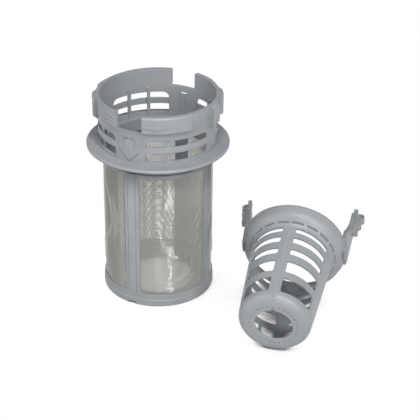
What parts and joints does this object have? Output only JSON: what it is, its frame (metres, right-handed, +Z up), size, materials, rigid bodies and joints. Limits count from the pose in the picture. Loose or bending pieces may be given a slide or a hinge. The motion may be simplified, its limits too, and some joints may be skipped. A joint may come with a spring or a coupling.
{
  "type": "dishwasher filter",
  "caption": "Upright micro filter with a barred collar and a mesh cylinder, and its coarse slotted basket lying beside it.",
  "frame": {"origin": "centre of the drain opening in the micro filter's foot, on the surface that the micro filter stands on", "axes": "+Z up along the micro filter's axis, +Y away from the camera of the picture, +X to the right"},
  "size_m": [0.2011, 0.1534, 0.1495],
  "materials": {
    "collar_plastic": "satin",
    "frame_plastic": "satin",
    "fine_mesh": "satin",
    "basket_plastic": "satin"
  },
  "bodies": {
    "root": {"micro_filter_collar": "collar_plastic", "mesh_frame": "frame_plastic", "mesh_sleeve": "fine_mesh", "coarse_basket": "basket_plastic"}
  },
  "joints": []
}
